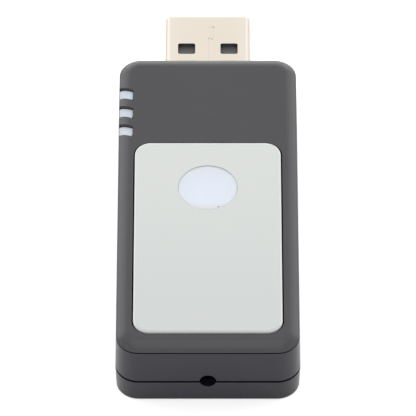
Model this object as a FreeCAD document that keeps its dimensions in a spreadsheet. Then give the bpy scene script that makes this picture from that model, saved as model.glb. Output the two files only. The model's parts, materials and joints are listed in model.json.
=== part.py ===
"""Plug-in radio switch: a two-shell housing with a USB-A plug and one large tilting key.

Frame: millimetres, +Z up, the housing stands on its flat bottom at z = 0. +Y points out of
the plug, X runs across the key. The origin lies under the middle of the overall length.
"""
import FreeCAD, Part
import math
import os

import Sketcher

V = FreeCAD.Vector

# Driving dimensions, one alias each, in millimetres and degrees
SIZES = {
    # Housing outline, widest at the parting line
    "body_width": 25.08,
    "body_length": 54.37,
    "corner_radius": 3.2,
    "parting_height": 3.57,
    "upper_wall_height": 5.85,
    "upper_draft": 1.6,
    "lower_draft": 1.8,
    "bottom_chamfer": 0.15,
    "wall": 1.5,
    "floor_thickness": 1.2,
    # Crown: the band that falls from the flat top to a fine crease above the wall
    "crown_height": 0.98,
    "crown_slope": 52.0,
    "crease_height": 0.2,
    "crease_depth": 0.3,
    # Joint between the shells
    "reveal_gap": 0.4,
    "reveal_depth": 0.6,
    "meeting_chamfer": 0.05,
    "lip_thickness": 0.6,
    "lip_height": 0.8,
    "lip_clearance": 0.08,
    # Key and its recess
    "key_width": 20.17,
    "key_near_margin": 2.86,
    "key_far_margin": 16.88,
    "key_corner_radius": 2.2,
    "key_plate": 1.5,
    "key_proud": 0.25,
    "key_edge_radius": 0.32,
    "key_gap": 0.19,
    "recess_depth": 2.0,
    "recess_chamfer": 0.04,
    "deck_thickness": 1.0,
    # Key hinge
    "hinge_inset": 0.8,
    "hinge_rise": 0.72,
    "hinge_pin": 0.6,
    "hinge_reach": 1.0,
    "hinge_root": 0.3,
    "hinge_clearance": 0.05,
    "hinge_end_play": 0.1,
    "hinge_ear_width": 1.4,
    "hinge_ear_rim": 0.28,
    # Hooks that stop the key from lifting
    "hook_spread": 14.0,
    "hook_width": 2.0,
    "hook_leg": 0.8,
    "hook_barb": 0.45,
    "hook_barb_height": 0.6,
    "hook_clearance": 0.25,
    "hook_play": 0.08,
    "hook_setback": 2.3,
    # Lens in the key
    "lens_diameter": 8.12,
    "lens_setback": 8.42,
    "lens_clearance": 0.03,
    "lens_flange_rim": 0.7,
    "lens_flange_thickness": 0.4,
    "lens_sink": 0.1,
    "lens_dish_radius": 80.0,
    "well_diameter": 6.4,
    # Side light bars
    "bar_count": 3,
    "bar_pitch": 3.46,
    "bar_width": 1.72,
    "bar_near_slant": 28.0,
    "bar_far_slant": 30.8,
    "bar_run": 2.14,
    "bar_margin": 2.24,
    "bar_clearance": 0.12,
    "bar_floor_rise": 5.38,
    "bar_sink": 0.45,
    "bar_end_clearance": 0.06,
    "bar_round_radius": 2.3,
    "pipe_rail_width": 1.5,
    "pipe_rail_height": 1.9,
    "pipe_leg_length": 1.5,
    "pipe_air_gap": 0.25,
    "bay_wall": 0.8,
    "bay_roof": 1.1,
    "bay_margin": 1.3,
    "bay_corner_radius": 0.25,
    # USB-A plug
    "plug_width": 12.0,
    "plug_height": 4.5,
    "plug_reach": 12.13,
    "plug_seat": 6.6,
    "plug_rise": 0.04,
    "plug_sheet": 0.3,
    "plug_bend_radius": 0.75,
    "plug_tip_chamfer": 0.15,
    "seam_width": 0.03,
    "seam_depth": 0.03,
    "seam_place": 0.12,
    "seam_jog": 0.66,
    "seam_lock_setback": 4.31,
    "seam_lock_length": 2.14,
    "seam_pit_side": 0.2,
    "seam_pit_depth": 0.08,
    "seam_pit_shift": 0.12,
    "plug_clearance": 0.06,
    "window_width": 2.44,
    "window_length": 2.05,
    "window_spread": 6.02,
    "window_setback": 6.37,
    "window_corner_radius": 0.28,
    "insulator_setback": 0.6,
    "insulator_block": 8.4,
    "insulator_thickness": 1.85,
    "insulator_fit": 0.02,
    "catch_margin": 0.25,
    "catch_depth": 0.5,
    "contact_thickness": 0.25,
    "contact_width": 1.0,
    "contact_power_spread": 7.0,
    "contact_data_spread": 2.0,
    "contact_power_setback": 1.5,
    "contact_data_setback": 2.5,
    "contact_tail": 1.6,
    "wing_reach": 1.5,
    "wing_length": 3.0,
    # Circuit board
    "board_rise": 0.7,
    "board_thickness": 1.0,
    "board_clearance": 0.4,
    "board_corner_radius": 1.4,
    "board_notch_clearance": 0.25,
    "post_side": 2.2,
    "post_margin": 2.4,
    "post_pin_diameter": 1.0,
    "post_pin_clearance": 0.08,
    # Main switch under the key
    "switch_setback": 2.0,
    "switch_side": 6.0,
    "switch_body_height": 3.5,
    "switch_cover": 0.2,
    "switch_well": 4.6,
    "switch_well_floor": 1.7,
    "stem_diameter": 3.4,
    "stem_clearance": 0.05,
    "stem_rise": 0.8,
    "stem_flange_diameter": 4.4,
    "stem_flange_height": 0.4,
    "stem_nub_diameter": 1.2,
    "stem_travel": 0.25,
    "dome_diameter": 4.2,
    "dome_crown": 1.4,
    "dome_height": 0.4,
    "dome_sheet": 0.1,
    "plunger_diameter": 2.6,
    "plunger_play": 0.03,
    "plunger_hole_clearance": 0.5,
    # Reset switch behind the end hole
    "reset_hole_diameter": 2.25,
    "reset_hole_height": 3.97,
    "reset_body_width": 4.4,
    "reset_body_depth": 2.4,
    "reset_body_height": 1.9,
    "reset_setback": 3.0,
    "reset_stem_width": 1.8,
    "reset_stem_height": 0.9,
    "reset_stem_reach": 1.0,
    "reset_stem_clearance": 0.05,
    "reset_pocket_depth": 1.5,
    "reset_travel": 0.25,
    # Radio module
    "module_width": 14.0,
    "module_length": 16.0,
    "module_thickness": 0.8,
    "module_setback": 14.0,
    "can_width": 12.0,
    "can_length": 11.6,
    "can_height": 2.1,
    "can_sheet": 0.2,
    "can_corner_radius": 0.6,
    "can_offset": 1.6,
    "radio_chip_side": 5.0,
    "radio_chip_height": 0.85,
    # Lamps and small components
    "lamp_length": 1.6,
    "lamp_width": 0.8,
    "lamp_height": 0.7,
    "key_lamp_side": 2.8,
    "key_lamp_height": 1.4,
    "part_gap": 0.6,
    "regulator_width": 3.5,
    "regulator_length": 6.5,
    "regulator_height": 1.6,
    "inductor_side": 4.0,
    "inductor_height": 1.8,
    "fuse_width": 3.2,
    "fuse_length": 1.6,
    "fuse_height": 0.6,
    "diode_width": 2.7,
    "diode_length": 1.6,
    "diode_height": 1.1,
    "crystal_width": 2.0,
    "crystal_length": 3.2,
    "crystal_height": 0.8,
    "tantalum_width": 3.5,
    "tantalum_length": 2.8,
    "tantalum_height": 1.9,
    "tantalum_setback": 3.6,
    "ceramic_width": 2.0,
    "ceramic_length": 1.25,
    "ceramic_height": 0.9,
    "resistor_width": 0.8,
    "resistor_length": 1.6,
    "resistor_height": 0.45,
    "resistor_pitch": 3.0,
    "resistor_count": 4,
}

doc = FreeCAD.newDocument("RadioSwitch")
sheet = doc.addObject("Spreadsheet::Sheet", "Sizes")
for row, (alias, value) in enumerate(SIZES.items(), start=1):
    sheet.set("A%d" % row, alias)
    sheet.set("B%d" % row, str(value))
    sheet.setAlias("B%d" % row, alias)
doc.recompute()


def named(text):
    """Turn an expression of plain aliases into one that reads the sheet."""
    words = []
    word = ""
    for letter in text + " ":
        if letter.isalnum() or letter == "_":
            word += letter
            continue
        words.append("Sizes." + word if word in SIZES else word)
        words.append(letter)
        word = ""
    return "".join(words).strip()


# Places and sizes that follow from the sheet, written once as expressions
NEAR_END = "(-(body_length + plug_reach) / 2)"
FAR_END = "((body_length - plug_reach) / 2)"
BODY_MIDDLE = "(-plug_reach / 2)"
PLUG_TIP = "((body_length + plug_reach) / 2)"
CREASE_Z = "(parting_height + upper_wall_height)"
CROWN_Z = "(parting_height + upper_wall_height + crease_height)"
TOP_Z = "(parting_height + upper_wall_height + crease_height + crown_height)"
DECK_Z = "(parting_height + upper_wall_height + crease_height + crown_height - recess_depth)"
ROOF_Z = "(%s - deck_thickness)" % DECK_Z
BAY_ROOF_Z = "(%s - bay_roof)" % TOP_Z
CREASE_INSET = "(upper_wall_height * tan(upper_draft))"
KEY_LENGTH = "(body_length - key_near_margin - key_far_margin)"
KEY_NEAR = "(%s + key_near_margin)" % NEAR_END
KEY_FAR = "(%s - key_far_margin)" % FAR_END
KEY_MIDDLE = "((%s + %s) / 2)" % (KEY_NEAR, KEY_FAR)
KEY_TOP_Z = "(%s + key_proud)" % TOP_Z
KEY_UNDER_Z = "(%s + key_proud - key_plate)" % TOP_Z
HINGE_Y = "(%s + key_corner_radius + hinge_inset)" % KEY_NEAR
HINGE_Z = "(%s + hinge_rise)" % DECK_Z
LENS_Y = "(%s - lens_setback)" % KEY_FAR
SWITCH_Y = "(%s - switch_setback)" % KEY_FAR
HOOK_Y = "(%s - hook_setback)" % KEY_FAR
BOARD_Z = "(floor_thickness + board_rise)"
BOARD_TOP_Z = "(floor_thickness + board_rise + board_thickness)"
STEM_TOP_Z = "(%s + switch_body_height + stem_rise)" % BOARD_TOP_Z
WELL_FLOOR_Z = "(%s + switch_well_floor)" % BOARD_TOP_Z
PLUG_Z = "(parting_height + plug_rise)"
PLUG_REAR = "(%s - plug_seat)" % FAR_END
RESET_FRONT = "(%s + reset_setback)" % NEAR_END
MODULE_Y = "(%s + module_setback)" % NEAR_END
CAN_Y = "(%s + can_offset)" % MODULE_Y
BAR_FLOOR_Z = "(parting_height + bar_floor_rise)"
BAR_REACH = "(body_width / 2 - bar_run)"
LAST_BAR_Y = "(%s + bar_margin)" % KEY_FAR
FIRST_BAR_Y = "(%s + (bar_count - 1) * bar_pitch)" % LAST_BAR_Y
BAY_START = "(%s + key_gap + bay_wall)" % KEY_FAR
BAY_END = "(%s + bar_width + bay_margin)" % FIRST_BAR_Y
RAIL_TOP_Z = "(%s - bar_clearance)" % BAY_ROOF_Z
PIPE_COLUMN = "(body_width / 2 - wall - bar_clearance - pipe_rail_width / 2)"
BOARD_SIDE = "(body_width / 2 - wall - board_clearance)"


def bind(thing, **expressions):
    """Bind properties of a feature to expressions over the sheet."""
    for path, text in expressions.items():
        thing.setExpression(path.replace("__", "."), named(text))


def new_body(label):
    """Start one rigid piece."""
    body = doc.addObject("PartDesign::Body", label)
    body.Label = label
    return body


def sketch_on(body, plane, across="0", along="0", up="0"):
    """Attach a sketch to an origin plane, moved in the plane's own axes."""
    sketch = body.newObject("Sketcher::SketchObject", body.Name + "_Sketch")
    features = body.Origin.OriginFeatures
    sketch.AttachmentSupport = [(next(f for f in features if f.Role == plane), "")]
    sketch.MapMode = "FlatFace"
    bind(sketch, AttachmentOffset__Base__x=across, AttachmentOffset__Base__y=along,
         AttachmentOffset__Base__z=up)
    return sketch


def constrain(sketch, kind, places, text):
    """Add one dimension and bind it to an expression."""
    index = sketch.addConstraint(Sketcher.Constraint(kind, *places, read(text)))
    sketch.setExpression("Constraints[%d]" % index, named(text))


def read(text):
    """Value of an expression over the sheet, in plain numbers."""
    value = sheet.evalExpression(named(text).replace("Sizes.", ""))
    return float(getattr(value, "Value", value))


def polygon(sketch, points):
    """Closed outline whose corners are held by expressions."""
    first = sketch.GeometryCount
    places = [V(read(x), read(y), 0) for x, y in points]
    for index, place in enumerate(places):
        following = places[(index + 1) % len(places)]
        sketch.addGeometry(Part.LineSegment(place, following))
    for index, (x, y) in enumerate(points):
        line = first + index
        following = first + (index + 1) % len(points)
        sketch.addConstraint(Sketcher.Constraint("Coincident", line, 2, following, 1))
        constrain(sketch, "DistanceX", (-1, 1, line, 1), x)
        constrain(sketch, "DistanceY", (-1, 1, line, 1), y)
    return sketch


def rectangle(sketch, width, length, x="0", y="0"):
    """Rectangle by its middle."""
    left, right = "(%s) - (%s) / 2" % (x, width), "(%s) + (%s) / 2" % (x, width)
    low, high = "(%s) - (%s) / 2" % (y, length), "(%s) + (%s) / 2" % (y, length)
    return polygon(sketch, [(left, low), (right, low), (right, high), (left, high)])


def rounded_rectangle(sketch, width, length, radius):
    """Rectangle about the sketch's own middle, with four tangent corner arcs."""
    half_w, half_l, r = read(width) / 2, read(length) / 2, read(radius)
    first = sketch.GeometryCount
    corners = [(half_w, half_l, 0), (-half_w, half_l, 90), (-half_w, -half_l, 180), (half_w, -half_l, 270)]
    centres = [V(x - r * (1 if x > 0 else -1), y - r * (1 if y > 0 else -1), 0) for x, y, _ in corners]
    for index, (_, _, start) in enumerate(corners):
        circle = Part.Circle(centres[index], V(0, 0, 1), r)
        from_angle = math.radians(start)
        to_angle = math.radians(start + 90)
        sketch.addGeometry(Part.ArcOfCircle(circle, from_angle, to_angle))
        arc_end = circle.value(to_angle)
        following = centres[(index + 1) % 4]
        next_start = math.radians(corners[(index + 1) % 4][2])
        line_end = Part.Circle(following, V(0, 0, 1), r).value(next_start)
        sketch.addGeometry(Part.LineSegment(arc_end, line_end))
    for index in range(4):
        arc, line = first + 2 * index, first + 2 * index + 1
        following = first + (2 * index + 2) % 8
        sketch.addConstraint(Sketcher.Constraint("Tangent", arc, 2, line, 1))
        sketch.addConstraint(Sketcher.Constraint("Tangent", line, 2, following, 1))
        if index:
            sketch.addConstraint(Sketcher.Constraint("Equal", first, arc))
    sketch.addConstraint(Sketcher.Constraint("Horizontal", first + 1))
    sketch.addConstraint(Sketcher.Constraint("Vertical", first + 3))
    sketch.addConstraint(Sketcher.Constraint("Symmetric", first + 1, 1, first + 5, 1, -1, 1))
    constrain(sketch, "Radius", (first,), radius)
    constrain(sketch, "DistanceY", (first + 5, 1, first + 1, 1), length)
    constrain(sketch, "DistanceX", (first + 3, 1, first + 7, 1), width)
    return sketch


def disc(sketch, diameter, x="0", y="0"):
    """Circle by its middle."""
    index = sketch.addGeometry(Part.Circle(V(read(x), read(y), 0), V(0, 0, 1), read(diameter) / 2))
    constrain(sketch, "DistanceX", (-1, 1, index, 3), x)
    constrain(sketch, "DistanceY", (-1, 1, index, 3), y)
    constrain(sketch, "Diameter", (index,), diameter)
    return sketch


def pad(body, sketch, length, taper=None, reverse=False, midplane=False):
    """Grow a sketch into the piece."""
    feature = body.newObject("PartDesign::Pad", body.Name + "_Pad")
    feature.Profile = sketch
    bind(feature, Length=length)
    feature.Reversed = reverse
    feature.Midplane = midplane
    if taper:
        bind(feature, TaperAngle=taper)
    return feature


def pocket(body, sketch, length, reverse=False, midplane=False):
    """Cut a sketch out of the piece."""
    feature = body.newObject("PartDesign::Pocket", body.Name + "_Pocket")
    feature.Profile = sketch
    bind(feature, Length=length)
    feature.Reversed = reverse
    feature.Midplane = midplane
    return feature


def repeat(body, features, plane_axis, spacing, count):
    """Linear pattern of features along an origin axis."""
    pattern = body.newObject("PartDesign::LinearPattern", body.Name + "_Pattern")
    pattern.Originals = features
    axes = body.Origin.OriginFeatures
    pattern.Direction = (next(f for f in axes if f.Role == plane_axis), [""])
    pattern.Mode = "Spacing"
    bind(pattern, Offset=spacing, Occurrences=count)
    pattern.Reversed = True
    body.Tip = pattern
    return pattern


def mirror(body, features, plane):
    """Mirror features about an origin plane."""
    pattern = body.newObject("PartDesign::Mirrored", body.Name + "_Mirror")
    pattern.Originals = features
    planes = body.Origin.OriginFeatures
    pattern.MirrorPlane = (next(f for f in planes if f.Role == plane), [""])
    body.Tip = pattern
    return pattern


def picked_edges(base, wanted):
    """Names of the edges of a feature that a test picks out."""
    doc.recompute()
    return ["Edge%d" % (i + 1) for i, edge in enumerate(base.Shape.Edges) if wanted(edge)]


def fillet_edges(body, base, radius, wanted):
    """Round the edges of a feature that a test picks out."""
    feature = body.newObject("PartDesign::Fillet", body.Name + "_Fillet")
    feature.Base = (base, picked_edges(base, wanted))
    bind(feature, Radius=radius)
    return feature


def chamfer_edges(body, base, size, wanted):
    """Break the edges of a feature that a test picks out."""
    feature = body.newObject("PartDesign::Chamfer", body.Name + "_Chamfer")
    feature.Base = (base, picked_edges(base, wanted))
    bind(feature, Size=size)
    return feature


def at_height(height):
    """Test for edges that lie at one height."""
    def test(edge):
        box = edge.BoundBox
        return abs(box.ZMin - height) < 1e-4 and abs(box.ZMax - height) < 1e-4
    return test


# Upper shell

def upper_shell():
    """Upper shell: drafted wall, crease, crowned band, key recess, slots and hole."""
    body = new_body("upper_shell")
    outline = sketch_on(body, "XY_Plane", along=BODY_MIDDLE, up="parting_height")
    rounded_rectangle(outline, "body_width", "body_length", "corner_radius")
    pad(body, outline, "upper_wall_height", taper="-upper_draft")
    neck = sketch_on(body, "XY_Plane", along=BODY_MIDDLE, up=CREASE_Z)
    inset = "(%s + crease_depth)" % CREASE_INSET
    rounded_rectangle(neck, "body_width - 2 * " + inset, "body_length - 2 * " + inset,
                      "corner_radius - " + inset)
    pad(body, neck, "crease_height")
    crown = sketch_on(body, "XY_Plane", along=BODY_MIDDLE, up=CROWN_Z)
    rounded_rectangle(crown, "body_width - 2 * " + CREASE_INSET, "body_length - 2 * " + CREASE_INSET,
                      "corner_radius - " + CREASE_INSET)
    crown_pad = pad(body, crown, "crown_height", taper="crown_slope - 90")
    # The crown's arc runs from the flat top almost to the crease, whatever the slope
    fillet_edges(body, crown_pad, "0.97 * crown_height / sin(crown_slope) / tan(crown_slope / 2)",
                 at_height(read(TOP_Z)))
    hollow_upper(body)
    key_recess(body)
    end_openings(body)
    bar_slots(body)
    return body


def hollow_upper(body):
    """Main cavity, higher bay beside the plug, rabbet and shadow gap."""
    cavity = sketch_on(body, "XY_Plane", along=BODY_MIDDLE, up="parting_height")
    rounded_rectangle(cavity, "body_width - 2 * wall", "body_length - 2 * wall", "corner_radius - wall")
    pocket(body, cavity, ROOF_Z + " - parting_height", reverse=True)
    bay = sketch_on(body, "XY_Plane", along="(%s + %s) / 2" % (BAY_START, BAY_END), up="parting_height")
    rounded_rectangle(bay, "body_width - 2 * wall", "%s - %s" % (BAY_END, BAY_START), "bay_corner_radius")
    pocket(body, bay, BAY_ROOF_Z + " - parting_height", reverse=True)
    rabbet = sketch_on(body, "XY_Plane", along=BODY_MIDDLE, up="parting_height")
    grow = "2 * (wall - lip_thickness - lip_clearance)"
    rounded_rectangle(rabbet, "body_width - " + grow, "body_length - " + grow,
                      "corner_radius - wall + lip_thickness + lip_clearance")
    pocket(body, rabbet, "lip_height + lip_clearance", reverse=True)
    reveal = sketch_on(body, "XY_Plane", along=BODY_MIDDLE, up="parting_height")
    rounded_rectangle(reveal, "body_width + 2 * wall", "body_length + 2 * wall", "corner_radius + wall")
    rounded_rectangle(reveal, "body_width - 2 * reveal_depth", "body_length - 2 * reveal_depth",
                      "corner_radius - reveal_depth")
    pocket(body, reveal, "reveal_gap", reverse=True)


def key_recess(body):
    """Recess for the key, with its hinge pins and the holes through its deck."""
    recess = sketch_on(body, "XY_Plane", along=KEY_MIDDLE, up=TOP_Z)
    rounded_rectangle(recess, "key_width + 2 * key_gap", KEY_LENGTH + " + 2 * key_gap",
                      "key_corner_radius + key_gap")
    sunk = pocket(body, recess, "recess_depth")
    level = at_height(read(TOP_Z))
    side = read("key_width / 2 + key_gap") + 1e-4
    near_side = read(KEY_NEAR + " - key_gap") - 1e-4
    far_side = read(KEY_FAR + " + key_gap") + 1e-4

    def rim(edge):
        box = edge.BoundBox
        across = max(abs(box.XMin), abs(box.XMax)) < side
        return level(edge) and across and box.YMin > near_side and box.YMax < far_side
    chamfer_edges(body, sunk, "recess_chamfer", rim)
    pins = sketch_on(body, "YZ_Plane", up="key_width / 2 - hinge_reach")
    disc(pins, "hinge_pin", HINGE_Y, HINGE_Z)
    pin_pad = pad(body, pins, "hinge_reach + key_gap + hinge_root")
    mirror(body, [pin_pad], "YZ_Plane")
    holes = sketch_on(body, "XY_Plane", up=DECK_Z)
    disc(holes, "plunger_diameter + 2 * plunger_hole_clearance", y=SWITCH_Y)
    disc(holes, "well_diameter", y=LENS_Y)
    for side in ("-", ""):
        rectangle(holes, "hook_width + 2 * hook_clearance",
                  "hook_leg + hook_barb + hook_clearance + hook_play",
                  x=side + "hook_spread / 2",
                  y=HOOK_Y + " + (hook_play - hook_barb - hook_clearance) / 2")
    pocket(body, holes, "deck_thickness")


def end_openings(body):
    """Plug opening in the far wall and half of the reset hole in the near wall."""
    mouth = sketch_on(body, "XZ_Plane", along=PLUG_Z, up="-" + FAR_END)
    rectangle(mouth, "plug_width + 2 * plug_clearance", "plug_height + 2 * plug_clearance")
    pocket(body, mouth, "2 * wall + 2 * lip_thickness", midplane=True)
    hole = sketch_on(body, "XZ_Plane", along="reset_hole_height", up="-" + NEAR_END)
    disc(hole, "reset_hole_diameter")
    pocket(body, hole, "2 * wall + 2 * lip_thickness", midplane=True)


def slanted_prism(sketch, width, reach):
    """Slanted slot outline: its inner end runs along Y at the reach, the rest goes outwards."""
    outer = "body_width / 2 + wall"
    near = "-(%s) / 2 + (%s - %s) * tan(bar_near_slant)"
    far = "(%s) / 2 + (%s - %s) * tan(bar_far_slant)"
    return polygon(sketch, [
        ("-(%s)" % reach, near % (width, reach, BAR_REACH)),
        ("-(%s)" % reach, far % (width, reach, BAR_REACH)),
        ("-(%s)" % outer, far % (width, outer, BAR_REACH)),
        ("-(%s)" % outer, near % (width, outer, BAR_REACH)),
    ])


def bar_slots(body):
    """Three slanted slots that wrap over the left top edge."""
    slot = sketch_on(body, "XY_Plane", along=FIRST_BAR_Y, up=BAR_FLOOR_Z)
    slanted_prism(slot, "bar_width + 2 * bar_clearance", BAR_REACH)
    cut = pocket(body, slot, "%s - %s + wall" % (TOP_Z, BAR_FLOOR_Z), reverse=True)
    repeat(body, [cut], "Y_Axis", "bar_pitch", "bar_count")


# Lower shell

def lower_shell():
    """Lower shell: drafted tray with a lip, board posts and the two end openings."""
    body = new_body("lower_shell")
    outline = sketch_on(body, "XY_Plane", along=BODY_MIDDLE, up="parting_height")
    rounded_rectangle(outline, "body_width", "body_length", "corner_radius")
    tray = pad(body, outline, "parting_height", taper="-lower_draft", reverse=True)
    tray = chamfer_edges(body, tray, "bottom_chamfer", at_height(0.0))
    chamfer_edges(body, tray, "meeting_chamfer", at_height(read("parting_height")))
    cavity = sketch_on(body, "XY_Plane", along=BODY_MIDDLE, up="parting_height")
    rounded_rectangle(cavity, "body_width - 2 * wall", "body_length - 2 * wall", "corner_radius - wall")
    pocket(body, cavity, "parting_height - floor_thickness")
    lip = sketch_on(body, "XY_Plane", along=BODY_MIDDLE, up="parting_height")
    grow = "2 * (wall - lip_thickness)"
    rounded_rectangle(lip, "body_width - " + grow, "body_length - " + grow,
                      "corner_radius - wall + lip_thickness")
    rounded_rectangle(lip, "body_width - 2 * wall", "body_length - 2 * wall", "corner_radius - wall")
    pad(body, lip, "lip_height")
    end_openings(body)
    posts = sketch_on(body, "XY_Plane", up="floor_thickness")
    pins = sketch_on(body, "XY_Plane", up="floor_thickness")
    for x, y in post_places():
        rectangle(posts, "post_side", "post_side", x, y)
    for x, y in pin_places():
        disc(pins, "post_pin_diameter", x, y)
    pad(body, posts, "board_rise")
    pad(body, pins, "board_rise + board_thickness")
    return body


def post_places():
    """Middles of the four posts that carry the board."""
    near = NEAR_END + " + wall + post_side + 2 * board_clearance"
    far = PLUG_REAR + " - post_side / 2"
    across = "(body_width / 2 - wall - post_margin)"
    return [("-" + across, near), ("-" + across, far), (across, near), (across, far)]


def pin_places():
    """Middles of the two locating pins, on opposite posts."""
    left_near, _, _, right_far = post_places()
    return [left_near, right_far]


# Key, its lens and the side light pipe

def key_panel():
    """Key: plate with a rounded rim, lens hole, bored hinge ears, plunger and two hooks."""
    body = new_body("key_panel")
    plate = sketch_on(body, "XY_Plane", along=KEY_MIDDLE, up=KEY_UNDER_Z)
    rounded_rectangle(plate, "key_width", KEY_LENGTH, "key_corner_radius")
    plate_pad = pad(body, plate, "key_plate")
    fillet_edges(body, plate_pad, "key_edge_radius", at_height(read(KEY_TOP_Z)))
    hole = sketch_on(body, "XY_Plane", up=KEY_UNDER_Z)
    disc(hole, "lens_diameter + 2 * lens_clearance", y=LENS_Y)
    pocket(body, hole, "key_plate", reverse=True)
    plunger = sketch_on(body, "XY_Plane", up=KEY_UNDER_Z)
    disc(plunger, "plunger_diameter", y=SWITCH_Y)
    pad(body, plunger, "%s - %s - plunger_play" % (KEY_UNDER_Z, STEM_TOP_Z), reverse=True)
    ear_size = "hinge_pin + 2 * hinge_ear_rim"
    ear = sketch_on(body, "YZ_Plane", up="key_width / 2 - hinge_ear_width")
    disc(ear, ear_size, HINGE_Y, HINGE_Z)
    ear_pad = pad(body, ear, "hinge_ear_width")
    web = sketch_on(body, "YZ_Plane", up="key_width / 2 - hinge_ear_width")
    rectangle(web, ear_size, "%s - %s + key_plate / 2" % (KEY_UNDER_Z, HINGE_Z), x=HINGE_Y,
              y="(%s + %s + key_plate / 2) / 2" % (KEY_UNDER_Z, HINGE_Z))
    web_pad = pad(body, web, "hinge_ear_width")
    hook = sketch_on(body, "YZ_Plane", up="(hook_spread - hook_width) / 2")
    leg_near, leg_far = HOOK_Y + " - hook_leg / 2", HOOK_Y + " + hook_leg / 2"
    barb_tip = leg_far + " + hook_barb"
    barb_top = ROOF_Z + " - hook_play"
    barb_low = barb_top + " - hook_barb_height"
    polygon(hook, [(leg_near, KEY_UNDER_Z + " + key_plate / 2"), (leg_near, barb_low), (leg_far, barb_low),
                   (barb_tip, barb_top), (leg_far, barb_top), (leg_far, KEY_UNDER_Z + " + key_plate / 2")])
    hook_pad = pad(body, hook, "hook_width")
    mirror(body, [ear_pad, web_pad, hook_pad], "YZ_Plane")
    for side, reverse in (("", False), ("-", True)):
        bore = sketch_on(body, "YZ_Plane", up=side + "key_width / 2")
        disc(bore, "hinge_pin + 2 * hinge_clearance", HINGE_Y, HINGE_Z)
        pocket(body, bore, "hinge_reach + hinge_end_play", reverse=reverse)
    return body


def key_lens():
    """Milky lens: disc with a flange under the plate and a dished top, sunk at its far edge."""
    disc_part = doc.addObject("Part::Cylinder", "lens_disc")
    bind(disc_part, Radius="lens_diameter / 2", Height="key_plate",
         Placement__Base__y=LENS_Y, Placement__Base__z=KEY_UNDER_Z)
    flange = doc.addObject("Part::Cylinder", "lens_flange")
    bind(flange, Radius="lens_diameter / 2 + lens_flange_rim", Height="lens_flange_thickness",
         Placement__Base__y=LENS_Y, Placement__Base__z=KEY_UNDER_Z + " - lens_flange_thickness")
    blank = doc.addObject("Part::Fuse", "lens_blank")
    blank.Base, blank.Tool = disc_part, flange
    dish = doc.addObject("Part::Sphere", "lens_dish")
    # The dish passes through the near rim at the key's top and through the far rim at its sink
    tilt = "asin(lens_sink / lens_diameter)"
    lift = "sqrt(lens_dish_radius * lens_dish_radius - lens_diameter * lens_diameter / 4)"
    bind(dish, Radius="lens_dish_radius",
         Placement__Base__y="%s + %s * sin(%s)" % (LENS_Y, lift, tilt),
         Placement__Base__z="%s - lens_sink / 2 + %s * cos(%s)" % (KEY_TOP_Z, lift, tilt))
    lens = doc.addObject("Part::Cut", "key_lens")
    lens.Base, lens.Tool = blank, dish
    lens.Label = "key_lens"
    return lens


def light_pipe():
    """Side light pipe: three prongs on a rail inside the bay, with a leg over each lamp."""
    body = new_body("side_light_pipe")
    rail_start = "(%s + bar_clearance)" % BAY_START
    rail_end = "(%s - bar_clearance)" % BAY_END
    rail = sketch_on(body, "XY_Plane", up=RAIL_TOP_Z)
    rectangle(rail, "pipe_rail_width", "%s - (%s)" % (rail_end, rail_start),
              x="-" + PIPE_COLUMN, y="(%s + %s) / 2" % (rail_start, rail_end))
    pad(body, rail, "pipe_rail_height", reverse=True)
    leg = sketch_on(body, "XY_Plane", up=RAIL_TOP_Z)
    rectangle(leg, "pipe_rail_width", "pipe_leg_length", x="-" + PIPE_COLUMN, y=FIRST_BAR_Y)
    leg_pad = pad(body, leg, "%s - %s - lamp_height - pipe_air_gap" % (RAIL_TOP_Z, BOARD_TOP_Z), reverse=True)
    prong = sketch_on(body, "XY_Plane", along=FIRST_BAR_Y, up=BAR_FLOOR_Z + " + bar_clearance")
    slanted_prism(prong, "bar_width", "(%s + bar_end_clearance)" % BAR_REACH)
    prong_pad = pad(body, prong, "%s - %s" % (TOP_Z, BAR_FLOOR_Z))
    repeat(body, [leg_pad, prong_pad], "Y_Axis", "bar_pitch", "bar_count")
    round_prongs(body)
    return body


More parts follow.
